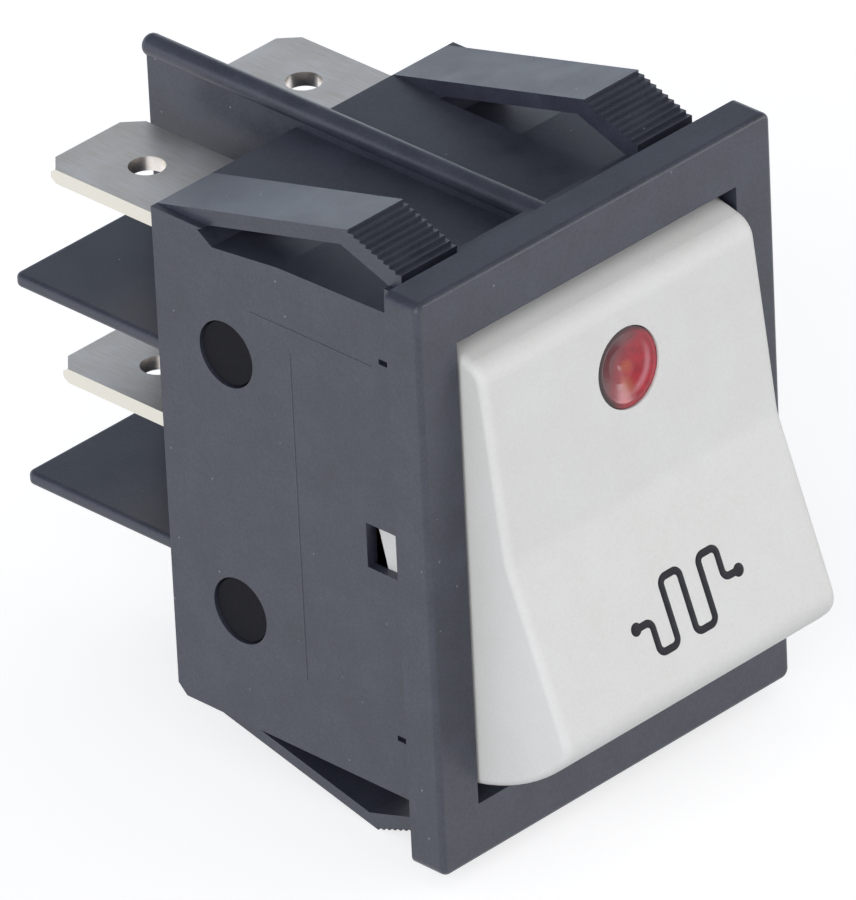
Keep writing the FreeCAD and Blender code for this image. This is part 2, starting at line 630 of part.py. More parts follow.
def build_rocker():
    body = new_body("rocker")
    beyond = rocker_radius * 1.2
    shape = outline(along(body, 0), [
        (face_at(beyond), beyond), (face_at(0 * beyond), 0), (face_at(beyond), -beyond),
        (S["rocker_skirt"], -beyond), (S["rocker_skirt"], beyond)])
    pad(body, shape, rocker_half_width * 2, both_ways=True)
    ends = along(body, 0)
    circle(ends, 0, 0, rocker_radius)
    box_outline(ends, -beyond * 1.5, -beyond * 1.5, beyond * 1.5, beyond * 1.5)
    pocket(body, ends, rocker_half_width * 3, both_ways=True)
    dress(body, "Fillet", S["rocker_valley"], lambda edge: (
        flat_in(edge, "y", -S["rocker_rise"]) and flat_in(edge, "z", 0)))
    dress(body, "Fillet", S["rocker_end_round"], lambda edge: (
        edge.BoundBox.XLength > rocker_half_width.number and edge.CenterOfMass.y < -S["rocker_rise"].number))
    dress(body, "Fillet", S["rocker_edge"], lambda edge: (
        edge.BoundBox.XLength < 1e-4 and edge.CenterOfMass.y < S["rocker_skirt"].number * 0.9))

    wall = S["rocker_wall"]
    deep = rocker_radius - wall * 1.3
    shallow = rocker_radius - wall * 2.3
    behind = S["rocker_skirt"] + wall
    hollow = outline(along(body, 0), [
        (face_at(0 * wall) + wall, 0), (face_at(shallow) + wall, shallow),
        (face_at(shallow) + wall * 3.2, deep), (behind, deep),
        (behind, -deep), (face_at(shallow) + wall * 3.2, -deep),
        (face_at(shallow) + wall, -shallow)])
    pocket(body, hollow, rocker_inner * 2, both_ways=True)

    stem_front = -S["rocker_rise"] + wall / 2
    for _, side in SIDES:
        disc(body, pole * side, 0, S["bore_diameter"] / 2 + S["stem_wall"], stem_front, stem_reach)
        lug = box_outline(along(body, (rocker_half_width - wall / 2) * side), -S["lug_ahead"], -S["lug_half"],
                          S["rocker_skirt"], S["lug_half"])
        pad(body, lug, wall / 2 + S["lug_thickness"], backwards=side < 0)
    for _, side in SIDES:
        bore = circle(across(body, stem_reach), pole * side, 0, S["bore_diameter"] / 2)
        bore_length = stem_reach + S["rocker_rise"] - wall - S["bore_floor"]
        pocket(body, bore, bore_length, backwards=True)
        outside = (rocker_half_width + S["lug_thickness"]) * side
        hinge = circle(along(body, outside), 0, 0, boss_radius + S["hinge_clearance"])
        pocket(body, hinge, wall + S["lug_thickness"], backwards=side < 0)

    seat = leaning(body, face_at(lens_height), lens_height, S["rocker_dish"])
    circle(seat, 0, 0, S["lens_diameter"] / 2 + S["lens_clearance"])
    pocket(body, seat, wall * 1.6)
    return with_rocker(body)


def build_lens():
    """Drawn with the middle of the face's hole at the origin and its axis along Y."""
    body = new_body("lens")
    radius = S["lens_diameter"] / 2
    rim = radius * 0.82
    wall = S["rocker_wall"] / cosine(S["rocker_dish"]) + S["seat_gap"]
    flange = radius + S["lens_flange"]
    back = wall + S["lens_flange_thickness"]
    sink = S["lens_sink"]
    lathe(body, [
        (0, sink + S["lens_dish"]), (rim * 0.55, sink + S["lens_dish"] * 0.68), (rim, sink * 1.5),
        (rim + S["lens_land"], sink), (radius, sink * 1.3), (radius, wall), (flange, wall), (flange, back),
        (radius * 0.75, back), (radius * 0.6, wall), (0, wall)])
    depth = face_at(lens_height)
    tilt = S["rocker_tilt"]
    return turned(body, S["hinge_depth"] + depth * cosine(tilt) + lens_height * sine(tilt),
                  lens_height * cosine(tilt) - depth * sine(tilt), S["rocker_dish"] - tilt)


def plunger_shoulder():
    """Depth of the plunger's shoulder, where its spring bears."""
    return stem_reach + S["plunger_overhang"] - S["plunger_guide"]


def build_plunger(name, side):
    """Drawn with its axis on Y: a pin inside the spring, a guided part and a nose rounded by bevels."""
    body = new_body("plunger_" + name)
    shoulder = plunger_shoulder()
    guide = S["bore_diameter"] / 2 - S["plunger_clearance"]
    spigot = spring_radius - S["spring_wire"] / 2 - S["spring_fit"]
    nose = S["plunger_nose"] / 2
    spigot_end = shoulder - S["plunger_spigot_length"]
    corners = [
        (0, spigot_end), (spigot, spigot_end), (spigot, shoulder), (guide, shoulder),
        (guide, shoulder + S["plunger_guide"]), (nose, shoulder + S["plunger_guide"])]
    for number in range(int(S["nose_steps"].number)):
        angle = as_size(90) / S["nose_steps"] * number
        corners.append((nose * cosine(angle), plunger_reach - nose + nose * sine(angle)))
    lathe(body, corners + [(0, plunger_reach)])
    return with_rocker(body, pole * side)


def six_sided(radius, centre, direction):
    """A six-sided section for a wire, square to a direction."""
    turn = FreeCAD.Rotation(FreeCAD.Vector(0, 0, 1), direction)
    ring = [FreeCAD.Vector(radius * math.cos(math.radians(angle)), radius * math.sin(math.radians(angle)), 0)
            for angle in range(0, 361, 60)]
    return Part.makePolygon([centre + turn.multVec(corner) for corner in ring])


def placed_feature(name, shape, placement):
    feature = doc.addObject("Part::Feature", name)
    feature.Label = name
    feature.Shape = shape
    feature.Placement = placement
    return feature


def build_spring(name, side):
    """A plain coil between the floor of its bore and the plunger's shoulder."""
    floor = -S["rocker_rise"] + S["rocker_wall"] + S["bore_floor"]
    wire = S["spring_wire"].number
    start = floor.number + wire / 2 + S["seat_gap"].number
    length = plunger_shoulder().number - start - wire / 2 - S["seat_gap"].number
    radius = spring_radius.number
    path = Part.makeLongHelix(length / S["spring_turns"].number, length, radius)
    rise = length / S["spring_turns"].number
    travel = FreeCAD.Vector(0, 2 * math.pi * radius, rise)
    section = six_sided(wire / 2, FreeCAD.Vector(radius, 0, 0), travel)
    coil = Part.Wire(path).makePipeShell([section], True, True)
    across_x = FreeCAD.Vector(1, 0, 0)
    in_bore = FreeCAD.Placement(FreeCAD.Vector((pole * side).number, start, 0), FreeCAD.Rotation(across_x, -90))
    tipped = FreeCAD.Placement(FreeCAD.Vector(0, S["hinge_depth"].number, 0),
                               FreeCAD.Rotation(across_x, -S["rocker_tilt"].number))
    return placed_feature("plunger_spring_" + name, coil, tipped.multiply(in_bore))


# Contacts and terminals

def build_arm(name, side):
    """A see-saw strip, drawn level with its pivot edge at the origin."""
    body = new_body("contact_arm_" + name)
    x = pole * side
    thick = S["arm_thickness"]
    profile = [
        (0 * thick, 0), (-arm_rise, S["arm_flank"]), (-arm_rise, arm_length),
        (-arm_rise - thick, arm_length), (-arm_rise - thick, S["arm_flank"]), (-thick, 0),
        (-arm_rise - thick, -S["arm_flank"]), (-arm_rise - thick, -S["arm_tail"]),
        (-arm_rise, -S["arm_tail"]), (-arm_rise, -S["arm_flank"])]
    half = S["arm_width"] / 2
    pad(body, outline(along(body, x - half), profile), S["arm_width"])
    notch_half = half_strip + S["arm_notch_room"]
    notches = across(body, -arm_rise - thick * 2)
    for way in (1, -1):
        box_outline(notches, x + (half - S["arm_notch"]) * way, -notch_half, x + half * way * 1.2, notch_half)
    pocket(body, notches, arm_rise + thick * 3)
    eye = circle(across(body, -arm_rise - thick * 2), x, contact_height, S["contact_shank"] / 2)
    pocket(body, eye, thick * 3)
    return with_arm(body)


def rivet(body, x, z, strip_front, strip_back, head_way, bevel):
    """A contact rivet through a strip: its head towards +Y or -Y, and its clinched end opposite."""
    disc(body, x, z, S["contact_shank"] / 2, strip_front, strip_back)
    head_front = strip_back if head_way > 0 else strip_front - S["contact_head"]
    clinch_front = strip_front - S["contact_clinch_height"] if head_way > 0 else strip_back
    disc(body, x, z, S["contact_diameter"] / 2, head_front, head_front + S["contact_head"])
    disc(body, x, z, S["contact_clinch"] / 2, clinch_front, clinch_front + S["contact_clinch_height"])
    face = head_front + S["contact_head"] if head_way > 0 else head_front
    dress(body, "Chamfer", bevel, lambda edge: flat_in(edge, "y", face))
    return body


def build_moving_contact(name, side):
    body = new_body("moving_contact_" + name)
    strip_front = -arm_rise - S["arm_thickness"]
    rivet(body, pole * side, contact_height, strip_front, -arm_rise, 1, S["contact_taper"])
    return with_arm(body)


def build_fixed_contact(name, side):
    body = new_body("fixed_contact_" + name)
    return rivet(body, pole * side, fixed_height, leg_front, leg_back, -1, S["contact_bevel"])


def finish_tab(body, x, z):
    """Cuts the hole, the two corners and the bevel at a tab's tip."""
    tip = S["tab_tip"]
    cuts = level(body, z - S["tab_thickness"])
    circle(cuts, x, tab_tip_depth - S["tab_hole_back"], S["tab_hole"] / 2)
    for way in (1, -1):
        edge = x + half_tab * way
        outline(cuts, [(edge - tip * way, tab_tip_depth), (edge + tip * way, tab_tip_depth),
                       (edge + tip * way, tab_tip_depth - tip * 3), (edge, tab_tip_depth - tip)])
    pocket(body, cuts, S["tab_thickness"] * 2, backwards=True)
    start = (tab_tip_depth - tip).number - 1e-4
    dress(body, "Chamfer", S["tab_bevel"], lambda edge: (
        edge.BoundBox.YMin > start and edge.BoundBox.ZLength < 1e-4))
    return body


def build_load_terminal(name, side):
    """An L-shaped stamping: a tab out of the back, and a leg that carries the fixed contact."""
    body = new_body("load_terminal_" + name)
    x = pole * side
    row = row_pitch
    top = row + half_strip
    profile = [
        (leg_front, leg_low), (leg_back, leg_low), (leg_back, row - half_strip),
        (tab_tip_depth, row - half_strip), (tab_tip_depth, top), (leg_front, top)]
    pad(body, outline(along(body, x - half_tab), profile), S["tab_width"])
    dress(body, "Fillet", S["bend_radius"], lambda edge: (
        flat_in(edge, "y", leg_back) and flat_in(edge, "z", row - half_strip)))
    dress(body, "Fillet", S["bend_radius"] + S["tab_thickness"], lambda edge: (
        flat_in(edge, "y", leg_front) and flat_in(edge, "z", top)))
    eye = circle(across(body, leg_front - S["contact_head"]), x, fixed_height, S["contact_shank"] / 2)
    pocket(body, eye, S["contact_head"] + S["tab_thickness"] * 1.5)
    return finish_tab(body, x, row)


def build_common_terminal(name, side):
    """A flat blade: a fork at its front end bears the arm, and its back end is the tab."""
    body = new_body("common_terminal_" + name)
    x = pole * side
    edge = pivot_depth + S["seat_gap"]
    inner = S["arm_width"] / 2 - S["arm_notch"] + S["ear_gap"]
    wide = half_tab + S["shoulder"]
    shoulder_front = edge + S["tab_thickness"]
    shoulder_back = carrier_front + S["shoulder_seat"] - S["seat_gap"]
    right = [
        (inner, edge), (inner, edge - S["ear_reach"]), (half_tab, edge - S["ear_reach"]),
        (half_tab, shoulder_front), (wide, shoulder_front), (wide, shoulder_back),
        (half_tab, shoulder_back), (half_tab, tab_tip_depth)]
    corners = [(x + u, v) for u, v in right] + [(x - u, v) for u, v in reversed(right)]
    pad(body, outline(level(body, -half_strip), corners), S["tab_thickness"])
    return finish_tab(body, x, Size(0, "0"))


# Contact carrier: the insulating insert that holds the terminals, lamp and resistor

def build_contact_carrier():
    body = new_body("contact_carrier")
    plate_half = half_rear_height - S["carrier_fit"]
    plate = box_outline(across(body, carrier_front), -cheek_outer, -plate_half, cheek_outer, plate_half)
    to_back(body, plate, carrier_back - carrier_front)
    inside = carrier_front + S["seat_gap"] * 5
    for _, side in SIDES:
        cheek = box_outline(across(body, cheek_front), cheek_inner * side, -cheek_half,
                            cheek_outer * side, cheek_half)
        to_back(body, cheek, inside - cheek_front)
        studs = along(body, (cheek_outer - S["cheek_thickness"] / 2) * side)
        for height in hole_heights:
            circle(studs, hole_depth, height, S["hole_diameter"] / 2 - S["stud_fit"])
        reach = half_body_width - S["stud_sink"] - cheek_outer + S["cheek_thickness"] / 2
        pad(body, studs, reach, backwards=side < 0)
        post_front = (pivot_depth - arm_rise * cosine(S["arm_tilt"])
                      + S["arm_tail"] * sine(S["arm_tilt"]) + S["stop_gap"])
        post = box_outline(across(body, post_front), pole * side - S["arm_width"] / 2, -S["arm_tail"],
                           pole * side + S["arm_width"] / 2, S["post_width"] - S["arm_tail"])
        to_back(body, post, inside - post_front)

    lamp_room = lamp_radius + S["lamp_fit"]
    tower_low = lamp_height - lamp_room - S["tower_wall"]
    tower_high = lamp_height + lamp_room + S["tower_wall"]
    tower_front = lamp_back - S["lamp_seat"]
    tower = box_outline(across(body, tower_front), -half_tower, tower_low, half_tower, tower_high)
    to_back(body, tower, inside - tower_front)
    cradle_high = resistor_height + S["resistor_diameter"] / 2
    cradle_half = S["resistor_length"] * 0.36
    cradle = box_outline(across(body, resistor_depth), -cradle_half, tower_high - S["tower_wall"],
                         cradle_half, cradle_high)
    to_back(body, cradle, inside - resistor_depth)

    socket = circle(across(body, tower_front), 0, lamp_height, lamp_room)
    pocket(body, socket, S["lamp_seat"] + S["lamp_fit"])
    channel_high = lamp_height + S["lamp_pitch"] / 2 + S["lead_wire"]
    channel_low = lamp_height - S["lamp_pitch"] / 2 - S["lead_wire"]
    channel = box_outline(across(body, tower_front), -half_tower * 1.1, channel_low, S["lead_wire"], channel_high)
    pocket(body, channel, lead_depth + S["lead_wire"] - tower_front)
    trough = circle(along(body, 0), resistor_depth, resistor_height, S["resistor_diameter"] / 2 + S["seat_gap"])
    pocket(body, trough, S["resistor_length"] * 1.2, both_ways=True)

    slots = across(body, carrier_front)
    for _, side in SIDES:
        for row in (0, 1):
            middle = row_pitch * row
            box_outline(slots, pole * side - slot_half_width, middle - slot_half_height,
                        pole * side + slot_half_width, middle + slot_half_height)
    pocket(body, slots, carrier_back - carrier_front)
    for _, side in SIDES:
        bend_low = row_pitch - half_strip - S["bend_radius"] - S["tab_fit"]
        bend = box_outline(across(body, carrier_front), pole * side - slot_half_width, bend_low,
                           pole * side + slot_half_width, row_pitch)
        pocket(body, bend, S["bend_radius"] + S["tab_fit"])
        groove_half = slot_half_width + S["shoulder"]
        groove = box_outline(across(body, cheek_front), pole * side - groove_half, -slot_half_height,
                             pole * side + groove_half, slot_half_height)
        pocket(body, groove, carrier_front + S["shoulder_seat"] - cheek_front)
        clinch = circle(across(body, carrier_front), pole * side, fixed_height,
                        S["contact_clinch"] / 2 + S["tab_fit"])
        pocket(body, clinch, S["contact_clinch_height"] + S["tab_fit"])
    return body


# Lamp circuit

def build_lamp():
    body = new_body("neon_lamp")
    disc(body, 0, lamp_height, lamp_radius, S["lamp_front"], lamp_back)
    dress(body, "Chamfer", lamp_radius * 0.6, lambda edge: flat_in(edge, "y", S["lamp_front"]))
    return body


def build_resistor():
    """A round body with slightly thicker ends, lying across the switch."""
    body = new_body("ballast_resistor")
    half = S["resistor_length"] / 2
    radius = S["resistor_diameter"] / 2
    middle = circle(along(body, 0), resistor_depth, resistor_height, radius * 0.88)
    pad(body, middle, S["resistor_length"], both_ways=True)
    for side in (1, -1):
        cap = circle(along(body, half * side), resistor_depth, resistor_height, radius)
        pad(body, cap, S["resistor_length"] * 0.22, backwards=side > 0)
    return body


def bent_wire(name, places):
    """A round wire along straight runs joined by tangent arcs."""
    points = [FreeCAD.Vector(*[as_size(value).number for value in place]) for place in places]
    bend = S["lead_bend"].number
    edges = []
    start = points[0]
    for before, corner, after in zip(points, points[1:], points[2:]):
        back = (before - corner).normalize()
        ahead = (after - corner).normalize()
        half_turn = (math.pi - back.getAngle(ahead)) / 2
        trim = bend * math.tan(half_turn)
        first = corner + back * trim
        last = corner + ahead * trim
        inwards = (back + ahead).normalize()
        middle = corner + inwards * (bend / math.cos(half_turn) - bend)
        edges += [Part.LineSegment(start, first).toShape(), Part.Arc(first, middle, last).toShape()]
        start = last
    edges.append(Part.LineSegment(start, points[-1]).toShape())
    path = Part.Wire(edges)
    section = six_sided(S["lead_wire"].number / 2, points[0], points[1] - points[0])
    return placed_feature(name, path.makePipeShell([section], True, True), FreeCAD.Placement())


def build_leads():
    """One lead to the left leg, one to the resistor, and the resistor's own lead to the right leg."""
    low = lamp_height - S["lamp_pitch"] / 2
    high = lamp_height + S["lamp_pitch"] / 2
    touch = leg_front - S["seat_gap"]
    out = lead_out
    lamp_end = lamp_back + S["seat_gap"]
    resistor_end = S["resistor_length"] / 2 + S["seat_gap"]
    resistor = resistor_height
    bent_wire("lamp_lead", [(0, lamp_end, low), (0, lead_depth, low), (-out, lead_depth, low), (-out, touch, low)])
    bent_wire("lamp_link", [
        (0, lamp_end, high), (0, lead_depth, high), (-out, lead_depth, high),
        (-out, resistor_depth, resistor), (-resistor_end, resistor_depth, resistor)])
    bent_wire("resistor_lead", [
        (resistor_end, resistor_depth, resistor), (out, resistor_depth, resistor), (out, touch, resistor)])


build_housing()
build_contact_carrier()
build_rocker()
build_lens()
build_lamp()
build_resistor()
build_leads()
for side_name, side_sign in SIDES:
    build_plunger(side_name, side_sign)
    build_spring(side_name, side_sign)
    build_arm(side_name, side_sign)
    build_moving_contact(side_name, side_sign)
    build_fixed_contact(side_name, side_sign)
    build_common_terminal(side_name, side_sign)
    build_load_terminal(side_name, side_sign)


def check_and_write():
    """Stops at anything that failed, and writes each piece to its own file."""
    doc.recompute()
    for item in doc.Objects:
        if "Invalid" in item.State or "Error" in item.State:
            raise ValueError(f"{item.Label} failed: {item.State}")
    pieces = [item for item in doc.Objects if item.TypeId in ("PartDesign::Body", "Part::Feature")]
    os.makedirs("parts", exist_ok=True)
    for piece in pieces:
        shape = piece.Shape
        if shape.isNull() or not shape.isValid() or not shape.Solids:
            raise ValueError(f"{piece.Label} has no valid solid")
        shape.exportStep(f"parts/{piece.Label}.step")
        print(f"{piece.Label}: {len(shape.Solids)} solid, {shape.Volume:.2f} mm3")


check_and_write()
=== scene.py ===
import logging
import math
from dataclasses import dataclass
from enum import Enum
from typing import Any

import bpy
from mathutils import Euler, Matrix, Vector


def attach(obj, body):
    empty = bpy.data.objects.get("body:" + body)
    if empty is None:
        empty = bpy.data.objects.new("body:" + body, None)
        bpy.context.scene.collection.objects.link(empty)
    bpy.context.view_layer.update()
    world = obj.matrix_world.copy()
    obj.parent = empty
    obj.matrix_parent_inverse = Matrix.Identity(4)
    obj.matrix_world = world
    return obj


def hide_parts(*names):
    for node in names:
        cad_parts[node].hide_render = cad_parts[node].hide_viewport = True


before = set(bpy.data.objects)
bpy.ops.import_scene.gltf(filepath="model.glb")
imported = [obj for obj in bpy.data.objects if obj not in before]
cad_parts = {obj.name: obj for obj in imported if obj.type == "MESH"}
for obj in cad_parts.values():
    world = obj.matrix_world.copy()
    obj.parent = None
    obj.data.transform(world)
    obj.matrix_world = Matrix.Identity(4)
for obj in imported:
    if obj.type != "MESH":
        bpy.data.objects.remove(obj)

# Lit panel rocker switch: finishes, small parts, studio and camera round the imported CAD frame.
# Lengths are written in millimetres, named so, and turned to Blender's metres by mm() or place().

LOG = logging.getLogger("rocker_switch")
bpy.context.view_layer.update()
MM_PER_METRE = 1000.0
WHITE = (1.0, 1.0, 1.0, 1.0)

# A place or direction, the two ends of a range, a drawn line's corners, and the socket that says how much
# of a tone shows, with the tone.
Point = tuple[float, float, float]
Span = tuple[float, float]
Line = tuple[tuple[float, float], ...]
Layer = tuple[bpy.types.NodeSocket, str]


class Body(Enum):
    """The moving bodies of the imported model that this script's own pieces ride on."""

    BASE = "base"
    PADDLE = "paddle"


class Side(Enum):
    """The two poles of the switch, by the sign of their place across it."""

    LEFT = -1
    RIGHT = 1

    @property
    def word(self) -> str:
        """The side's word in a node's name."""
        return self.name.lower()


def mm(value: float) -> float:
    """Turn millimetres into metres."""
    return value / MM_PER_METRE


def place(x: float, y: float, z: float) -> Vector:
    """Turn a place in millimetres into a vector in metres."""
    return Vector((mm(x), mm(y), mm(z)))


def linear(hex_colour: str) -> tuple[float, float, float, float]:
    """Turn an sRGB hex colour into the linear colour that a node wants.

    Args:
        hex_colour: The colour as "#RRGGBB".

    Returns:
        Red, green, blue and a full alpha, linear.
    """
    channels = [int(hex_colour[at:at + 2], 16) / 255.0 for at in (1, 3, 5)]
    bent = [c / 12.92 if c <= 0.04045 else ((c + 0.055) / 1.055) ** 2.4 for c in channels]
    return (bent[0], bent[1], bent[2], 1.0)


def add_node(tree: bpy.types.NodeTree, kind: str, inputs: dict[Any, Any] | None = None,
             **settings: Any) -> bpy.types.Node:
    """Add one node with its settings, its socket values and its links.

    Args:
        tree: The shader, world or geometry tree that gets the node.
        kind: Blender's name of the node type.
        inputs: A value or an output socket for each input, by name or number.
        **settings: Properties of the node itself.

    Returns:
        The new node.
    """
    node = tree.nodes.new(kind)
    for name, value in settings.items():
        setattr(node, name, value)
    for socket, value in (inputs or {}).items():
        if isinstance(value, bpy.types.NodeSocket):
            tree.links.new(value, node.inputs[socket])
        else:
            node.inputs[socket].default_value = value
    return node


def per_metre(spacing_mm: float) -> float:
    """The scale of a pattern whose features stand this far apart, on Object coordinates in metres."""
    return MM_PER_METRE / spacing_mm


@dataclass(frozen=True)
class Finish:
    """A finish: its real material's name, its two tones and how it takes the light."""

    name: str
    colour: str
    shade: str
    roughness: float
    metallic: float = 0.0
    ior: float = 1.5
    mottle_mm: float = 3.0
    grain_mm: float = 0.2
    grain_height_mm: float = 0.01
    grain_strength: float = 0.2
    roughness_swing: float = 0.05
    transmission: float = 0.0
    stretch: Point = (1.0, 1.0, 1.0)
    mottle_detail: float = 4.0
    mottle_roughness: float = 0.6
    grain_detail: float = 3.0
    grain_roughness: float = 0.55
    mottle_span: Span = (0.3, 0.7)
    both_span: Span = (0.7, 1.3)

    def material(self) -> bpy.types.Material:
        """Build the finish as a node material.

        Returns:
            The material, with mottled colour, uneven gloss and a fine relief.
        """
        material = bpy.data.materials.new(self.name)
        material.use_nodes = True
        tree = material.node_tree
        tree.nodes.clear()
        coordinates = add_node(tree, "ShaderNodeTexCoord").outputs["Object"]
        pattern = add_node(tree, "ShaderNodeMapping", {"Vector": coordinates, "Scale": self.stretch})
        broad = add_node(tree, "ShaderNodeTexNoise", {
            "Vector": coordinates, "Scale": per_metre(self.mottle_mm),
            "Detail": self.mottle_detail, "Roughness": self.mottle_roughness})
        fine = add_node(tree, "ShaderNodeTexNoise", {
            "Vector": pattern.outputs["Vector"], "Scale": per_metre(self.grain_mm),
            "Detail": self.grain_detail, "Roughness": self.grain_roughness})
        both = add_node(tree, "ShaderNodeMath", {
            0: broad.outputs["Fac"], 1: fine.outputs["Fac"]}, operation="ADD")
        amount = add_node(tree, "ShaderNodeMapRange", {
            "Value": both.outputs[0], "From Min": self.both_span[0], "From Max": self.both_span[1]})
        colour = add_node(tree, "ShaderNodeMix", {
            "Factor": amount.outputs["Result"], "A": linear(self.shade), "B": linear(self.colour)},
            data_type="RGBA")
        for cover, tone in self.layers(tree, coordinates):
            colour = add_node(tree, "ShaderNodeMix", {
                "Factor": cover, "A": colour.outputs["Result"], "B": linear(tone)}, data_type="RGBA")
        gloss = add_node(tree, "ShaderNodeMapRange", {
            "Value": broad.outputs["Fac"],
            "From Min": self.mottle_span[0], "From Max": self.mottle_span[1],
            "To Min": self.roughness - self.roughness_swing,
            "To Max": self.roughness + self.roughness_swing})
        relief = add_node(tree, "ShaderNodeBump", {
            "Height": fine.outputs["Fac"], "Strength": self.grain_strength,
            "Distance": mm(self.grain_height_mm)})
        shader = add_node(tree, "ShaderNodeBsdfPrincipled", {
            "Base Color": colour.outputs["Result"], "Roughness": gloss.outputs["Result"],
            "Normal": relief.outputs["Normal"], "Metallic": self.metallic, "IOR": self.ior,
            "Transmission Weight": self.transmission})
        add_node(tree, "ShaderNodeOutputMaterial", {"Surface": shader.outputs["BSDF"]})
        return material

    def layers(self, tree: bpy.types.NodeTree, coordinates: bpy.types.NodeSocket) -> list[Layer]:
        """Tones that lie over the mottled ones, lowest first.

        Args:
            tree: The material's tree.
            coordinates: Object coordinates.

        Returns:
            How much of each tone shows, as a socket, and the tone's hex colour.
        """
        return []


@dataclass(frozen=True)
class TabFinish(Finish):
    """Plated tabs whose sheared edges show a warmer tone than their rolled faces."""

    edge: str = "#D9D6CC"
    pole_mm: float = 5.5
    half_tab_mm: float = 3.15
    edge_mm: float = 0.04

    def layers(self, tree: bpy.types.NodeTree, coordinates: bpy.types.NodeSocket) -> list[Layer]:
        """Show the sheared edges by their distance from a tab's middle.

        Args:
            tree: The material's tree.
            coordinates: Object coordinates.

        Returns:
            The edges' layer.
        """
        across = add_node(tree, "ShaderNodeSeparateXYZ", {"Vector": coordinates}).outputs["X"]
        for operation, amount in (("ABSOLUTE", 0.0), ("SUBTRACT", mm(self.pole_mm)), ("ABSOLUTE", 0.0),
                                  ("GREATER_THAN", mm(self.half_tab_mm - self.edge_mm))):
            across = add_node(tree, "ShaderNodeMath", {
                0: across, 1: amount}, operation=operation).outputs[0]
        return [(across, self.edge)]


@dataclass(frozen=True)
class BandedFinish(Finish):
    """A lacquered body with coloured rings at given places across the switch."""

    bands: tuple[tuple[float, str], ...] = (
        (-1.25, "#6B3A1E"), (-0.5, "#7A4A9A"), (0.25, "#C9A227"), (1.2, "#B98B2A"))
    band_mm: float = 0.34

    def layers(self, tree: bpy.types.NodeTree, coordinates: bpy.types.NodeSocket) -> list[Layer]:
        """Show each ring's tone inside its own width.

        Args:
            tree: The material's tree.
            coordinates: Object coordinates.

        Returns:
            A layer for each ring.
        """
        across = add_node(tree, "ShaderNodeSeparateXYZ", {"Vector": coordinates}).outputs["X"]
        return [(add_node(tree, "ShaderNodeMath", {
            0: across, 1: mm(middle), 2: mm(self.band_mm / 2)}, operation="COMPARE").outputs[0], tone)
            for middle, tone in self.bands]


@dataclass(frozen=True)
class DustyFinish(Finish):
    """A dark moulding with a few specks of pale dust."""

    dust: str = "#70737C"
    speck_mm: float = 0.06
    apart_mm: float = 1.5

    def layers(self, tree: bpy.types.NodeTree, coordinates: bpy.types.NodeSocket) -> list[Layer]:
        """Show the dust wherever a random cell's middle is near.

        Args:
            tree: The material's tree.
            coordinates: Object coordinates.

        Returns:
            The dust's layer.
        """
        cells = add_node(tree, "ShaderNodeTexVoronoi", {
            "Vector": coordinates, "Scale": per_metre(self.apart_mm), "Randomness": 1.0})
        speck = add_node(tree, "ShaderNodeMath", {
            0: cells.outputs["Distance"], 1: self.speck_mm / self.apart_mm}, operation="LESS_THAN")
        return [(speck.outputs[0], self.dust)]


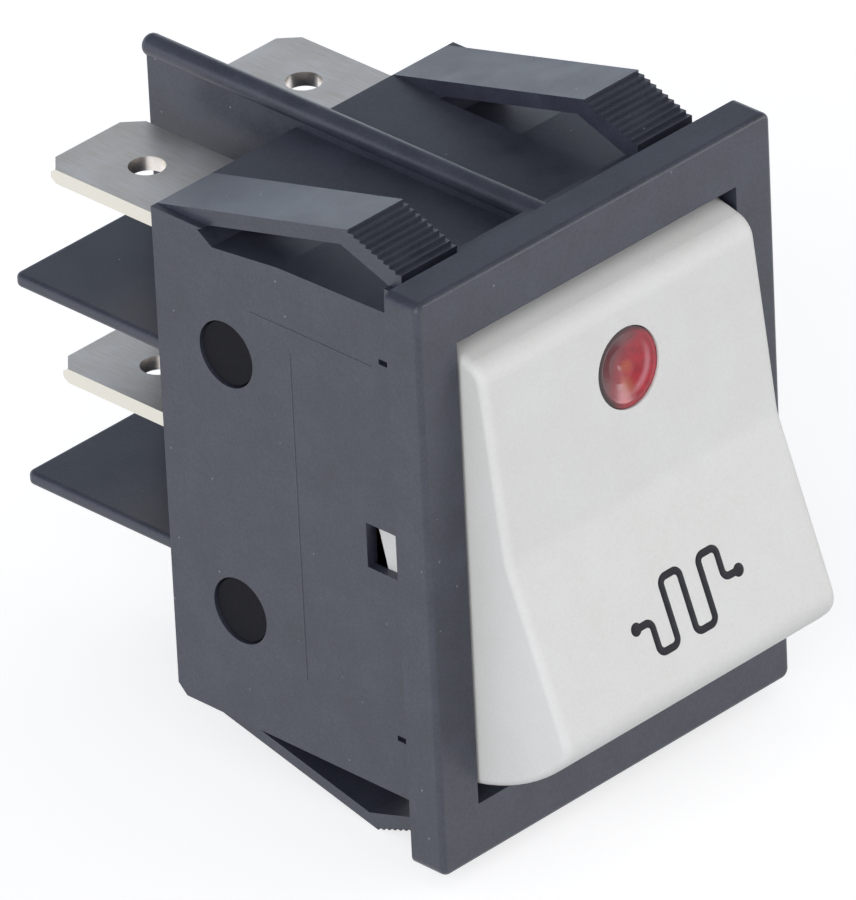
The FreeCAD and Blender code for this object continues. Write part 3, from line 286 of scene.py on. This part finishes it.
@dataclass(frozen=True)
class LensFinish(Finish):
    """A clear lens with painted light and shade: painted shade deepening towards one side, a painted dark
    rim of shade there, a painted pale highlight ring inside, painted amber glow spots standing for the
    lamp.

    Places and widths are millimetres on its face, from its middle. A span's first value is where its tone
    starts to show and its second where it shows in full, along the slant from shade towards light or out
    from the middle.
    """

    middle_mm: Point = (0.0, 0.0, 7.93)
    # The direction across the face from the painted shade towards the painted light.
    light_slant: Point = (0.8, 0.0, -0.6)
    # Painted shade: the red deepens along the slant, away from the light.
    painted_shade: str = "#4A0E1C"
    painted_shade_slant: Span = (0.9, -1.5)
    # Painted highlight: a pale pink ring in the dish, on its lit side.
    ring: str = "#D9808C"
    painted_highlight_ring_mm: float = 1.5
    painted_highlight_ring_span: Span = (0.22, 0.0)
    painted_highlight_ring_slant: Span = (0.2, 1.6)
    # Painted glow: soft amber spots standing for the lamp shining through the lens.
    painted_glow: str = "#C2553C"
    painted_glow_spots_mm: tuple[Point, ...] = ((0.1, -1.15, 0.6), (0.35, -0.3, 0.5))
    painted_glow_core_mm: float = 0.1
    # Painted shade: a dark rim on the side away from the light.
    painted_rim_shade: str = "#16060C"
    painted_rim_shade_span: Span = (1.67, 2.02)
    painted_rim_shade_slant: Span = (1.2, -0.4)

    def layers(self, tree: bpy.types.NodeTree, coordinates: bpy.types.NodeSocket) -> list[Layer]:
        """Show each of the lens's tones by one smooth step, or by two of them multiplied.

        Args:
            tree: The material's tree.
            coordinates: Object coordinates.

        Returns:
            The layers of the painted shade on the deep side, the painted highlight ring, the painted glow
            spots of the lamp and the painted rim of shade.
        """
        off = add_node(tree, "ShaderNodeVectorMath", {
            0: coordinates, 1: place(*self.middle_mm)}, operation="SUBTRACT").outputs[0]
        face = add_node(tree, "ShaderNodeVectorMath", {
            0: off, 1: (MM_PER_METRE, 0.0, MM_PER_METRE)}, operation="MULTIPLY").outputs[0]
        away = add_node(tree, "ShaderNodeVectorMath", {0: face}, operation="LENGTH").outputs["Value"]
        light_slant = add_node(tree, "ShaderNodeVectorMath", {
            0: face, 1: self.light_slant}, operation="DOT_PRODUCT").outputs["Value"]
        beside = add_node(tree, "ShaderNodeMath", {0: away, 1: self.painted_highlight_ring_mm}, operation="SUBTRACT")
        beside = add_node(tree, "ShaderNodeMath", {0: beside.outputs[0]}, operation="ABSOLUTE").outputs[0]
        # Painted shade deepening away from the light, and a painted highlight ring on the lit side.
        steps = [(self.painted_shade, [(light_slant, self.painted_shade_slant)]),
                 (self.ring, [(beside, self.painted_highlight_ring_span), (light_slant, self.painted_highlight_ring_slant)])]
        # Painted glow of the lamp, as soft amber spots.
        for across, up, radius in self.painted_glow_spots_mm:
            gap = add_node(tree, "ShaderNodeVectorMath", {
                0: face, 1: (across, 0.0, up)}, operation="DISTANCE").outputs["Value"]
            steps.append((self.painted_glow, [(gap, (radius, self.painted_glow_core_mm))]))
        # Painted shade as a dark rim on the side away from the light.
        steps.append((self.painted_rim_shade, [(away, self.painted_rim_shade_span), (light_slant, self.painted_rim_shade_slant)]))
        found = []
        for tone, measures in steps:
            covers = [add_node(tree, "ShaderNodeMapRange", {
                "Value": measure, "From Min": none, "From Max": full},
                interpolation_type="SMOOTHSTEP").outputs["Result"] for measure, (none, full) in measures]
            cover = covers[0]
            for other in covers[1:]:
                cover = add_node(tree, "ShaderNodeMath", {
                    0: cover, 1: other}, operation="MULTIPLY").outputs[0]
            found.append((cover, tone))
        return found


# Glass-filled nylon 66, moulded in a spark-eroded tool: matt blue-black with a fine sparkle of grain and
# a few specks of dust. The grain is drawn coarser than the real one, so that it shows.
HOUSING_NYLON = DustyFinish(
    "glass_filled_nylon_black", "#3D404E", "#2B2E3A", roughness=0.38, ior=1.53, mottle_mm=2.4,
    grain_mm=0.14, grain_height_mm=0.02, grain_strength=0.35)
# Moulded ABS, neutral white: a fine satin grain that softens every highlight.
ROCKER_ABS = Finish(
    "moulded_abs_white", "#E0E0E0", "#D8D8D6", roughness=0.55, ior=1.5, mottle_mm=3.5,
    grain_mm=0.16, grain_height_mm=0.012, grain_strength=0.25)
# Polybutylene terephthalate insert, moulded: deeper black than the housing, partly its own colour and
# partly painted shade that darkens the holes it shows through. It sits in the shade of its holes, so its
# dull skin and low IOR keep it from mirroring the room.
CARRIER_PBT = Finish(
    "moulded_pbt_black", "#1C1C22", "#17171C", roughness=0.7, ior=1.2, mottle_mm=3.0,
    grain_mm=0.3, grain_height_mm=0.006)
# Moulded acetal plungers: milky and slippery.
PLUNGER_ACETAL = Finish(
    "moulded_acetal_natural", "#D9D8D0", "#CFCEC6", roughness=0.3, ior=1.48, mottle_mm=1.5,
    grain_mm=0.4, grain_height_mm=0.004)
# Clear red polycarbonate, smooth moulded, with painted light and shade: painted maroon shade to the upper
# left, a painted rosy highlight ring below, a painted amber glow of the lamp inside.
LENS_POLYCARBONATE = LensFinish(
    "clear_polycarbonate_red", "#D01E3A", "#A01028", roughness=0.24, ior=1.585, mottle_mm=0.7,
    grain_mm=0.5, grain_height_mm=0.006, roughness_swing=0.04, transmission=0.3)
# Drawn soda-lime glass: clear, with faint draw lines.
LAMP_GLASS = Finish(
    "drawn_glass_clear", "#F2EEE8", "#ECE6DE", roughness=0.06, ior=1.52, mottle_mm=2.0,
    grain_mm=0.6, grain_height_mm=0.004, roughness_swing=0.02, transmission=0.9)
# Lacquered ceramic: glossy tan with the usual colour code.
RESISTOR_LACQUER = BandedFinish(
    "lacquered_resistor_tan", "#C9A67A", "#BD9768", roughness=0.3, mottle_mm=1.0,
    grain_mm=0.25, grain_height_mm=0.01)
# Tinned copper wire: a soft grey shine with a fine drawn grain.
LEAD_TIN = Finish(
    "tinned_copper_wire", "#CFCFCD", "#BDBDBB", roughness=0.3, metallic=1.0, mottle_mm=0.8,
    grain_mm=0.15, grain_height_mm=0.006)
# Drawn music wire: bright grey with dark draw marks.
SPRING_STEEL = Finish(
    "drawn_spring_steel", "#B4B5B8", "#8E8F93", roughness=0.28, metallic=1.0, mottle_mm=0.6,
    grain_mm=0.12, grain_height_mm=0.006)
# Silver-plated brass strip, rolled: fine lines along the tab, a faint warm tarnish, creamy sheared edges.
TAB_PLATING = TabFinish(
    "silver_plated_brass_rolled", "#F8F4F2", "#E6DCCE", roughness=0.34, metallic=1.0, mottle_mm=4.0,
    grain_mm=0.1, grain_height_mm=0.01, grain_strength=0.12, roughness_swing=0.03,
    stretch=(1.0, 0.06, 1.0))
# Copper alloy strip, blanked and bent: warm, with soft roll marks.
ARM_COPPER = Finish(
    "rolled_copper_alloy", "#C98B5E", "#B27848", roughness=0.34, metallic=1.0, mottle_mm=1.4,
    grain_mm=0.12, grain_height_mm=0.008, stretch=(1.0, 1.0, 0.08))
# Silver alloy rivets, headed and coined: bright, barely marked.
CONTACT_SILVER = Finish(
    "coined_silver_alloy", "#E4E3DF", "#D2D1CC", roughness=0.22, metallic=1.0, mottle_mm=0.7,
    grain_mm=0.2, grain_height_mm=0.005)
# Pad-printed ink on plastic: black with a soft gloss.
SYMBOL_INK = Finish(
    "pad_printed_ink_black", "#0F0F18", "#1A1A26", roughness=0.5, ior=1.33, mottle_mm=0.6,
    grain_mm=0.12, grain_height_mm=0.008)


@dataclass(frozen=True)
class NodeFinishes:
    """Which finish each CAD node gets."""

    by_node: tuple[tuple[str, Finish], ...] = (
        ("housing", HOUSING_NYLON), ("contact_carrier", CARRIER_PBT), ("rocker", ROCKER_ABS),
        ("lens", LENS_POLYCARBONATE), ("neon_lamp", LAMP_GLASS), ("ballast_resistor", RESISTOR_LACQUER),
        ("lamp_lead", LEAD_TIN), ("lamp_link", LEAD_TIN), ("resistor_lead", LEAD_TIN))
    by_pole: tuple[tuple[str, Finish], ...] = (
        ("plunger_", PLUNGER_ACETAL), ("contact_arm_", ARM_COPPER), ("moving_contact_", CONTACT_SILVER),
        ("fixed_contact_", CONTACT_SILVER), ("common_terminal_", TAB_PLATING),
        ("load_terminal_", TAB_PLATING), ("plunger_spring_", SPRING_STEEL))

    def dress(self, made: "Materials") -> None:
        """Give every CAD node its finish.

        Args:
            made: The materials, which each finish joins at its first use.
        """
        pairs = list(self.by_node)
        pairs += [(stem + side.word, finish) for stem, finish in self.by_pole for side in Side]
        for node, finish in pairs:
            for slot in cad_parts[node].material_slots:
                slot.material = made.of(finish)
            LOG.info("%s: %s", node, finish.name)


class Materials:
    """Builds each finish once and hands out its material."""

    def __init__(self) -> None:
        """Start with nothing built."""
        self.built: dict[str, bpy.types.Material] = {}

    def of(self, finish: Finish) -> bpy.types.Material:
        """Hand out the material of a finish, built at its first use.

        Args:
            finish: The finish.

        Returns:
            Its material.
        """
        if finish.name not in self.built:
            self.built[finish.name] = finish.material()
        return self.built[finish.name]


def flat_lines(name: str, lines: tuple[Line, ...]) -> bpy.types.Curve:
    """Draw straight-sided lines on the flat.

    Args:
        name: The curve's name.
        lines: Each line's corners in millimetres, across and up.

    Returns:
        One curve with all the lines, their corners sharp.
    """
    curve = bpy.data.curves.new(name, "CURVE")
    curve.dimensions = "3D"
    for line in lines:
        spline = curve.splines.new("POLY")
        spline.points.add(len(line) - 1)
        for point, (across, up) in zip(spline.points, line):
            point.co = (mm(across), mm(up), 0.0, 1.0)
    return curve


def bake(holder: bpy.types.Object, name: str, matrix: Matrix) -> bpy.types.Object:
    """Turn a Geometry Nodes result into a plain mesh piece at the origin.

    Args:
        holder: The object that carries the modifier. It is removed.
        name: The new piece's name.
        matrix: Where the result goes, in the row frame.

    Returns:
        The new piece, with no modifier.
    """
    evaluated = holder.evaluated_get(bpy.context.evaluated_depsgraph_get())
    mesh = bpy.data.meshes.new_from_object(evaluated)
    mesh.name = name
    mesh.transform(matrix)
    for polygon in mesh.polygons:
        polygon.use_smooth = True
    bpy.data.objects.remove(holder)
    piece = bpy.data.objects.new(name, mesh)
    bpy.context.scene.collection.objects.link(piece)
    return piece


class GrownTree:
    """A Geometry Nodes tree with named inputs, and a holder object that runs it once."""

    def __init__(self, name: str, sizes: dict[str, float], needs_curve: bool) -> None:
        """Open the tree's interface.

        Args:
            name: Name of the tree and of its holder.
            sizes: Named inputs in metres or plain numbers.
            needs_curve: True if the tree starts from the holder's own curve.
        """
        self.name = name
        self.sizes = sizes
        self.tree = bpy.data.node_groups.new(name, "GeometryNodeTree")
        self.tree.interface.new_socket("Geometry", in_out="OUTPUT", socket_type="NodeSocketGeometry")
        if needs_curve:
            self.tree.interface.new_socket("Path", in_out="INPUT", socket_type="NodeSocketGeometry")
        for size in sizes:
            self.tree.interface.new_socket(size, in_out="INPUT", socket_type="NodeSocketFloat")
        self.start = self.tree.nodes.new("NodeGroupInput")

    def given(self, size: str) -> bpy.types.NodeSocket:
        """The socket that brings a named input into the tree."""
        return self.start.outputs[size]

    def low_sweep(self, path: bpy.types.NodeSocket, sides: int) -> bpy.types.NodeSocket:
        """Sweep a section as wide as twice Half Width and as high as Height along a flat path.

        Args:
            path: The path, lying on the flat.
            sides: How many sides the section has.

        Returns:
            The socket that gives the swept mesh.
        """
        flat = add_node(self.tree, "GeometryNodeSetCurveNormal", {"Curve": path}, mode="Z_UP")
        section = add_node(self.tree, "GeometryNodeCurvePrimitiveCircle", {
            "Resolution": sides, "Radius": 1.0})
        squeezed = add_node(self.tree, "ShaderNodeCombineXYZ", {
            "X": self.given("Half Width"), "Y": self.given("Height"), "Z": 1.0})
        oval = add_node(self.tree, "GeometryNodeTransform", {
            "Geometry": section.outputs["Curve"], "Scale": squeezed.outputs["Vector"]})
        return add_node(self.tree, "GeometryNodeCurveToMesh", {
            "Curve": flat.outputs["Curve"], "Profile Curve": oval.outputs["Geometry"],
            "Fill Caps": True}).outputs["Mesh"]

    def close(self, geometry: bpy.types.NodeSocket, material: bpy.types.Material) -> None:
        """End the tree: instances made real, and the finish set.

        Args:
            geometry: The socket that gives the grown shape.
            material: Its material.
        """
        real = add_node(self.tree, "GeometryNodeRealizeInstances", {"Geometry": geometry})
        dressed = add_node(self.tree, "GeometryNodeSetMaterial", {
            "Geometry": real.outputs["Geometry"], "Material": material})
        add_node(self.tree, "NodeGroupOutput", {"Geometry": dressed.outputs["Geometry"]})

    def run(self, data: bpy.types.ID, name: str, matrix: Matrix) -> bpy.types.Object:
        """Run the tree on an object's data and bake the result.

        Args:
            data: The holder's mesh or curve.
            name: The finished piece's name.
            matrix: Where the result goes, in the row frame.

        Returns:
            The finished piece.
        """
        holder = bpy.data.objects.new(self.name, data)
        bpy.context.scene.collection.objects.link(holder)
        modifier = holder.modifiers.new(self.name, "NODES")
        modifier.node_group = self.tree
        for item in self.tree.interface.items_tree:
            if item.in_out == "INPUT" and item.name in self.sizes:
                modifier[item.identifier] = self.sizes[item.name]
        bpy.context.view_layer.update()
        piece = bake(holder, name, matrix)
        LOG.info("%s: %d faces", name, len(piece.data.polygons))
        return piece


@dataclass
class Rocker:
    """The rocker's place at rest, and how its two flat faces lie from the hinge."""

    hinge_mm: float = 1.1
    tilt_deg: float = 14.0
    rise_mm: float = 6.1
    dish_deg: float = 6.6

    def to_row(self) -> Matrix:
        """The matrix from the level rocker's own frame, hinge at its origin, to the row frame at rest."""
        tilt = Matrix.Rotation(math.radians(-self.tilt_deg), 4, "X")
        return Matrix.Translation(place(0, self.hinge_mm, 0)) @ tilt

    def lower_face(self, across_mm: float, height_mm: float) -> Matrix:
        """The matrix from a flat drawing, X across and Y up the face, to the rocker's lower face at rest.

        Args:
            across_mm: Place of the drawing's origin across the rocker.
            height_mm: Its place along Z from the hinge, negative below it.

        Returns:
            The matrix, with the drawing's Z pointing out of the face.
        """
        slope = math.radians(self.dish_deg)
        origin = place(across_mm, -self.rise_mm - abs(height_mm) * math.tan(slope), height_mm)
        upright = Matrix.Rotation(math.radians(90) - slope, 4, "X")
        return self.to_row() @ Matrix.Translation(origin) @ upright


@dataclass
class HeatingSymbol:
    """The generic heating-element sign on the rocker's lower face: a bent line with a dot at each end."""

    rocker: Rocker
    across_mm: float = 0.37
    middle_mm: float = -6.04
    stroke_mm: float = 0.4
    proud_mm: float = 0.03
    bend_mm: float = 0.38
    dot_mm: float = 0.7
    bend_steps: int = 8
    line_sides: int = 16
    dot_sides: int = 20
    corners_mm: Line = (
        (-3.64, 0.0), (-2.6, 0.0), (-2.6, -1.73), (-1.31, -1.73), (-1.31, 1.68), (0.0, 1.68),
        (0.0, -1.73), (1.35, -1.73), (1.35, 1.7), (2.63, 1.7), (2.63, 0.02), (3.64, 0.02))

    def build(self, made: Materials) -> None:
        """Sweep the line round its filleted corners and set a dot on each end.

        Args:
            made: The materials, for the sign's ink.
        """
        grown = GrownTree("heating_symbol", {
            "Half Width": mm(self.stroke_mm / 2), "Height": mm(self.proud_mm),
            "Bend": mm(self.bend_mm), "Dot": mm(self.dot_mm / 2)}, needs_curve=True)
        tree = grown.tree
        rounded = add_node(tree, "GeometryNodeFilletCurve", {
            "Curve": grown.given("Path"), "Radius": grown.given("Bend"),
            "Count": self.bend_steps}, mode="POLY")
        line = grown.low_sweep(rounded.outputs["Curve"], self.line_sides)
        ends = add_node(tree, "GeometryNodeCurveEndpointSelection")
        ball = add_node(tree, "GeometryNodeMeshUVSphere", {
            "Segments": self.dot_sides, "Rings": self.dot_sides // 2, "Radius": grown.given("Dot")})
        ratio = add_node(tree, "ShaderNodeMath", {
            0: grown.given("Height"), 1: grown.given("Dot")}, operation="DIVIDE")
        press = add_node(tree, "ShaderNodeCombineXYZ", {"X": 1.0, "Y": 1.0, "Z": ratio.outputs[0]})
        dots = add_node(tree, "GeometryNodeInstanceOnPoints", {
            "Points": rounded.outputs["Curve"], "Selection": ends.outputs["Selection"],
            "Instance": ball.outputs["Mesh"], "Scale": press.outputs["Vector"]})
        both = add_node(tree, "GeometryNodeJoinGeometry")
        for part in (line, dots.outputs["Instances"]):
            tree.links.new(part, both.inputs["Geometry"])
        grown.close(both.outputs["Geometry"], made.of(SYMBOL_INK))
        path = flat_lines("symbol_line", (self.corners_mm,))
        piece = grown.run(path, "heating_symbol", self.rocker.lower_face(self.across_mm, self.middle_mm))
        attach(piece, Body.PADDLE.value)


@dataclass
class MouldLines:
    """The fine raised lines that the mould's insert leaves on the housing's left side."""

    side_mm: float = -10.6
    width_mm: float = 0.11
    proud_mm: float = 0.025
    line_sides: int = 10
    level_mm: Line = ((11.1, 10.1), (3.0, 10.1))
    upright_mm: Line = ((8.5, 8.7), (8.5, -9.7))

    def build(self, made: Materials) -> None:
        """Sweep a low round section along both lines, whose corners are places back and up.

        Args:
            made: The materials, for the housing's plastic.
        """
        grown = GrownTree("mould_lines", {
            "Half Width": mm(self.width_mm / 2), "Height": mm(self.proud_mm)}, needs_curve=True)
        grown.close(grown.low_sweep(grown.given("Path"), self.line_sides), made.of(HOUSING_NYLON))
        # The drawing's X runs back, its Y up, and its height out of the left side.
        on_side = Matrix(((0.0, 0.0, -1.0, mm(self.side_mm)), (1.0, 0.0, 0.0, 0.0),
                          (0.0, 1.0, 0.0, 0.0), (0.0, 0.0, 0.0, 1.0)))
        path = flat_lines("mould_line_path", (self.level_mm, self.upright_mm))
        piece = grown.run(path, "mould_lines", on_side)
        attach(piece, Body.BASE.value)


@dataclass
class PlungerSprings:
    """The two coil springs between the rocker's bores and the plungers."""

    rocker: Rocker
    pole_mm: float = 5.5
    wire_mm: float = 0.35
    diameter_mm: float = 2.25
    turns: float = 5.0
    start_mm: float = -4.005
    end_mm: float = 3.01
    turn_steps: int = 28
    wire_sides: int = 12

    def build(self, made: Materials) -> None:
        """Wind both coils and let them stand for the CAD springs.

        Args:
            made: The materials, for the springs' wire.
        """
        grown = GrownTree("plunger_coil", {
            "Coil Radius": mm(self.diameter_mm / 2), "Wire Radius": mm(self.wire_mm / 2),
            "Length": mm(self.end_mm - self.start_mm), "Turns": self.turns}, needs_curve=False)
        tree = grown.tree
        helix = add_node(tree, "GeometryNodeCurveSpiral", {
            "Resolution": self.turn_steps, "Rotations": grown.given("Turns"),
            "Start Radius": grown.given("Coil Radius"), "End Radius": grown.given("Coil Radius"),
            "Height": grown.given("Length")})
        wire = add_node(tree, "GeometryNodeCurvePrimitiveCircle", {
            "Resolution": self.wire_sides, "Radius": grown.given("Wire Radius")})
        coil = add_node(tree, "GeometryNodeCurveToMesh", {
            "Curve": helix.outputs["Curve"], "Profile Curve": wire.outputs["Curve"], "Fill Caps": True})
        grown.close(coil.outputs["Mesh"], made.of(SPRING_STEEL))
        for side in Side:
            in_bore = Matrix.Translation(place(self.pole_mm * side.value, self.start_mm, 0))
            along = Matrix.Rotation(math.radians(-90), 4, "X")
            where = self.rocker.to_row() @ in_bore @ along
            piece = grown.run(bpy.data.meshes.new("coil_start"), "coil_" + side.word, where)
            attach(piece, Body.PADDLE.value)
            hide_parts("plunger_spring_" + side.word)


@dataclass(frozen=True)
class SoftLight:
    """One square soft light that looks at the switch."""

    name: str
    watts: float
    size_mm: float
    from_mm: Point

    def build(self) -> None:
        """Hang the light."""
        light = bpy.data.lights.new(self.name, "AREA")
        light.energy = self.watts
        light.shape = "SQUARE"
        light.size = mm(self.size_mm)
        holder = bpy.data.objects.new(self.name, light)
        holder.location = place(*self.from_mm)
        holder.rotation_euler = (-holder.location).to_track_quat("-Z", "Y").to_euler()
        bpy.context.scene.collection.objects.link(holder)


@dataclass
class Studio:
    """Pale floor, soft lights and the world round the switch.

    The world's spans are parts of the view direction: how far back it points (Y) or up (Z).
    """

    floor_mm: float = -16.94
    floor_half_mm: float = 4000.0
    floor_colour: str = "#BDBDBF"
    tooth_mm: float = 0.8
    tooth_height_mm: float = 0.02
    tooth_strength: float = 0.05
    seen_glow: float = 0.68
    mirrored_glow: float = 0.8
    behind_span: Span = (0.0, 0.6)
    front_span: Span = (0.2, 0.85)
    front_levels: Span = (0.83, 0.46)
    back_span: Span = (0.12, 0.42)
    back_levels: Span = (1.9, 0.34)
    window: str = "#E6F1FF"
    lights: tuple[SoftLight, ...] = (
        SoftLight("key_left", 16.5, 1500.0, (-1200.0, -600.0, 300.0)),
        SoftLight("fill_right", 2.3, 400.0, (700.0, -600.0, 100.0)))

    def floor(self) -> None:
        """Lay the floor: nearly white to the eye, to metal and to glass, and still keeping the shadow."""
        half = mm(self.floor_half_mm)
        low = mm(self.floor_mm)
        mesh = bpy.data.meshes.new("floor")
        mesh.from_pydata([(-half, -half, low), (half, -half, low), (half, half, low), (-half, half, low)],
                         [], [(0, 1, 2, 3)])
        floor = bpy.data.objects.new("floor", mesh)
        bpy.context.scene.collection.objects.link(floor)
        # Seamless paper sweep: plain, pale and matt, with a very slight tooth.
        material = bpy.data.materials.new("seamless_paper_white")
        material.use_nodes = True
        tree = material.node_tree
        tree.nodes.clear()
        coordinates = add_node(tree, "ShaderNodeTexCoord").outputs["Object"]
        tooth = add_node(tree, "ShaderNodeTexNoise", {
            "Vector": coordinates, "Scale": per_metre(self.tooth_mm)})
        relief = add_node(tree, "ShaderNodeBump", {
            "Height": tooth.outputs["Fac"], "Strength": self.tooth_strength,
            "Distance": mm(self.tooth_height_mm)})
        paper = add_node(tree, "ShaderNodeBsdfDiffuse", {
            "Color": linear(self.floor_colour), "Normal": relief.outputs["Normal"]})
        path = add_node(tree, "ShaderNodeLightPath")
        mirrored = add_node(tree, "ShaderNodeMath", {
            0: path.outputs["Is Glossy Ray"], 1: path.outputs["Is Transmission Ray"]}, operation="MAXIMUM")
        seen = add_node(tree, "ShaderNodeMath", {
            0: path.outputs["Is Camera Ray"], 1: self.seen_glow}, operation="MULTIPLY")
        glow = add_node(tree, "ShaderNodeMath", {
            0: mirrored.outputs[0], 1: self.mirrored_glow, 2: seen.outputs[0]}, operation="MULTIPLY_ADD")
        white = add_node(tree, "ShaderNodeEmission", {"Strength": glow.outputs[0]})
        both = add_node(tree, "ShaderNodeAddShader", {
            0: paper.outputs["BSDF"], 1: white.outputs["Emission"]})
        add_node(tree, "ShaderNodeOutputMaterial", {"Surface": both.outputs["Shader"]})
        mesh.materials.append(material)

    def world(self) -> None:
        """A pale room in front and a low cool window behind, dimmer above; the camera sees white."""
        world = bpy.data.worlds.new("studio")
        bpy.context.scene.world = world
        world.use_nodes = True
        tree = world.node_tree
        tree.nodes.clear()
        direction = add_node(tree, "ShaderNodeTexCoord").outputs["Generated"]
        parts = add_node(tree, "ShaderNodeSeparateXYZ", {"Vector": direction})
        behind, front, back = (
            add_node(tree, "ShaderNodeMapRange", {
                "Value": parts.outputs[axis], "From Min": span[0], "From Max": span[1],
                "To Min": levels[0], "To Max": levels[1]},
                interpolation_type="SMOOTHSTEP").outputs["Result"]
            for axis, span, levels in (("Y", self.behind_span, (0.0, 1.0)),
                                       ("Z", self.front_span, self.front_levels),
                                       ("Z", self.back_span, self.back_levels)))
        level = add_node(tree, "ShaderNodeMix", {
            "Factor": behind, 2: front, 3: back}, data_type="FLOAT")
        camera = add_node(tree, "ShaderNodeLightPath").outputs["Is Camera Ray"]
        strength = add_node(tree, "ShaderNodeMath", {0: level.outputs[0], 1: camera}, operation="MAXIMUM")
        tint = add_node(tree, "ShaderNodeMix", {
            "Factor": behind, "A": WHITE, "B": linear(self.window)}, data_type="RGBA")
        sky = add_node(tree, "ShaderNodeBackground", {
            "Color": tint.outputs["Result"], "Strength": strength.outputs[0]})
        add_node(tree, "ShaderNodeOutputWorld", {"Surface": sky.outputs["Background"]})

    def build(self) -> None:
        """Set up the floor, the world and the soft lights."""
        self.floor()
        self.world()
        for light in self.lights:
            light.build()
        LOG.info("studio: floor, world and %d soft lights", len(self.lights))


@dataclass
class PhotoCamera:
    """The photograph's viewpoint."""

    place_mm: Point = (-459.759, -454.571, 382.827)
    turn_deg: Point = (59.48019, 2.41422, -46.12155)
    lens_mm: float = 618.044
    sensor_mm: float = 36.0
    near_mm: float = 50.0
    far_mm: float = 50000.0

    def build(self) -> None:
        """Put the camera where the photograph was taken from."""
        data = bpy.data.cameras.new("photo_camera")
        data.sensor_fit = "AUTO"
        data.sensor_width = self.sensor_mm
        data.lens = self.lens_mm
        data.clip_start = mm(self.near_mm)
        data.clip_end = mm(self.far_mm)
        camera = bpy.data.objects.new("photo_camera", data)
        camera.location = place(*self.place_mm)
        camera.rotation_euler = Euler([math.radians(angle) for angle in self.turn_deg], "XYZ")
        bpy.context.scene.collection.objects.link(camera)
        bpy.context.scene.camera = camera
        LOG.info("photo_camera: lens %.0f mm", self.lens_mm)


def main() -> None:
    """Build the studio, dress the CAD nodes and add the scene's own pieces."""
    logging.basicConfig(level=logging.INFO, format="%(name)s: %(message)s")
    bpy.context.scene.view_settings.view_transform = "Standard"
    made = Materials()
    PhotoCamera().build()
    Studio().build()
    NodeFinishes().dress(made)
    rocker = Rocker()
    HeatingSymbol(rocker).build(made)
    MouldLines().build(made)
    PlungerSprings(rocker).build(made)


if __name__ == "__main__":
    main()
